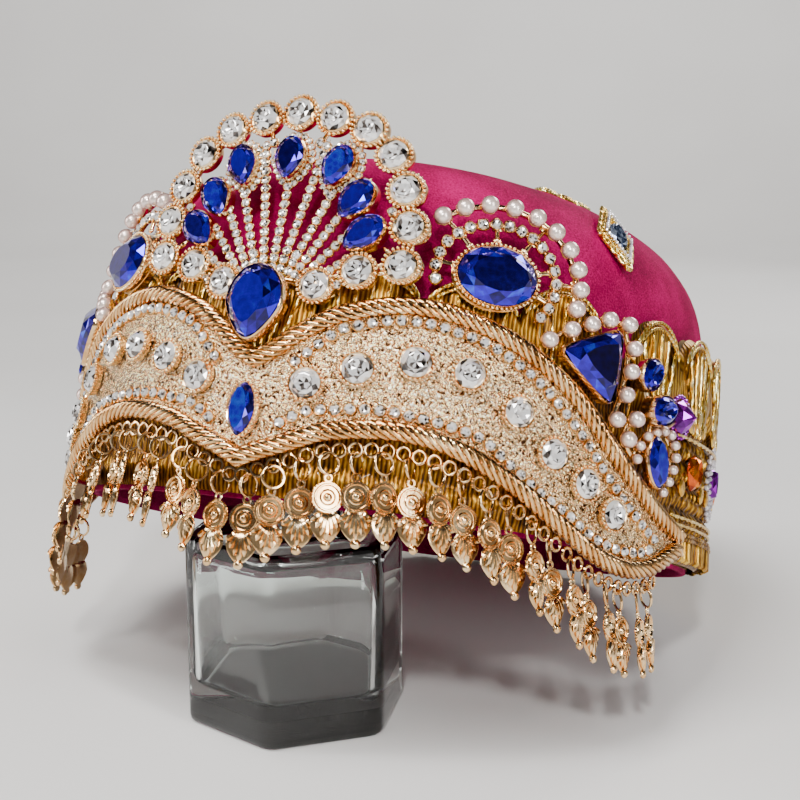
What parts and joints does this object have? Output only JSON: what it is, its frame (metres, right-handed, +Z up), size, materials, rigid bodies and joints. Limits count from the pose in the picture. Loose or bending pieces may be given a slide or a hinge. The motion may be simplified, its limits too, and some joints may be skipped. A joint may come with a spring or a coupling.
{
  "type": "dance crown on glass jar stand",
  "caption": "Velvet dance cap with a gilt jewelled brow plate, peacock fan, pearl medallions and pendant fringe, leaning on a hexagonal glass jar.",
  "frame": {"origin": "centre of the glass jar's flat base, on the surface that the jar and the crown's rear hem stand on", "axes": "+Z up, -Y towards the crown's brow, +X towards the wearer's left, which is the right side seen from in front"},
  "size_m": [0.1805, 0.2058, 0.1572],
  "materials": {
    "pink_velvet": "silk velvet with a short bright pile",
    "gold_embroidery": "couched metallic thread with sequins and beads",
    "gold_braid": "ruffled metallic gimp braid",
    "rose_gilt": "cast alloy with bright rose gold plating, plate field hammered",
    "clear_crystal": "foil-backed cut glass",
    "blue_stone": "foil-backed cut glass, sapphire blue",
    "purple_stone": "foil-backed cut glass, purple",
    "pearl": "imitation pearl, soft lustre",
    "clear_glass": "clear moulded glass",
    "post": "plain matt"
  },
  "bodies": {
    "root": {"glass_jar": "clear_glass", "stand_post": "post", "velvet_cap": "pink_velvet", "gold_side_band": "gold_embroidery", "hem_braid": "gold_braid", "brow_plate": "rose_gilt", "brow_marquise": "blue_stone", "front_pear": "blue_stone", "fan_frame": "rose_gilt", "brow_crystal_l_1": "clear_crystal", "brow_crystal_l_2": "clear_crystal", "brow_crystal_l_3": "clear_crystal", "brow_crystal_l_4": "clear_crystal", "brow_crystal_l_5": "clear_crystal", "brow_crystal_l_6": "clear_crystal", "brow_crystal_l_7": "clear_crystal", "brow_crystal_l_8": "clear_crystal", "brow_crystal_r_1": "clear_crystal", "brow_crystal_r_2": "clear_crystal", "brow_crystal_r_3": "clear_crystal", "brow_crystal_r_4": "clear_crystal", "brow_crystal_r_5": "clear_crystal", "brow_crystal_r_6": "clear_crystal", "brow_crystal_r_7": "clear_crystal", "brow_crystal_r_8": "clear_crystal", "fan_drop_1": "blue_stone", "fan_drop_2": "blue_stone", "fan_drop_3": "blue_stone", "fan_drop_4": "blue_stone", "fan_drop_5": "blue_stone", "fan_drop_6": "blue_stone", "fan_drop_7": "blue_stone", "medallion_frame_l": "rose_gilt", "medallion_stone_l": "blue_stone", "side_cluster_l": "pearl", "side_triangle_l": "blue_stone", "side_oval_upper_l": "blue_stone", "side_oval_lower_l": "blue_stone", "side_marquise_l": "blue_stone", "purple_stone_l": "purple_stone", "fringe_l": "rose_gilt", "medallion_frame_r": "rose_gilt", "medallion_stone_r": "blue_stone", "side_cluster_r": "pearl", "side_triangle_r": "blue_stone", "side_oval_upper_r": "blue_stone", "side_oval_lower_r": "blue_stone", "side_marquise_r": "blue_stone", "purple_stone_r": "purple_stone", "fringe_r": "rose_gilt", "cap_diamond_1": "gold_embroidery", "cap_diamond_2": "gold_embroidery", "cap_diamond_3": "gold_embroidery", "cap_diamond_4": "gold_embroidery"}
  },
  "joints": []
}
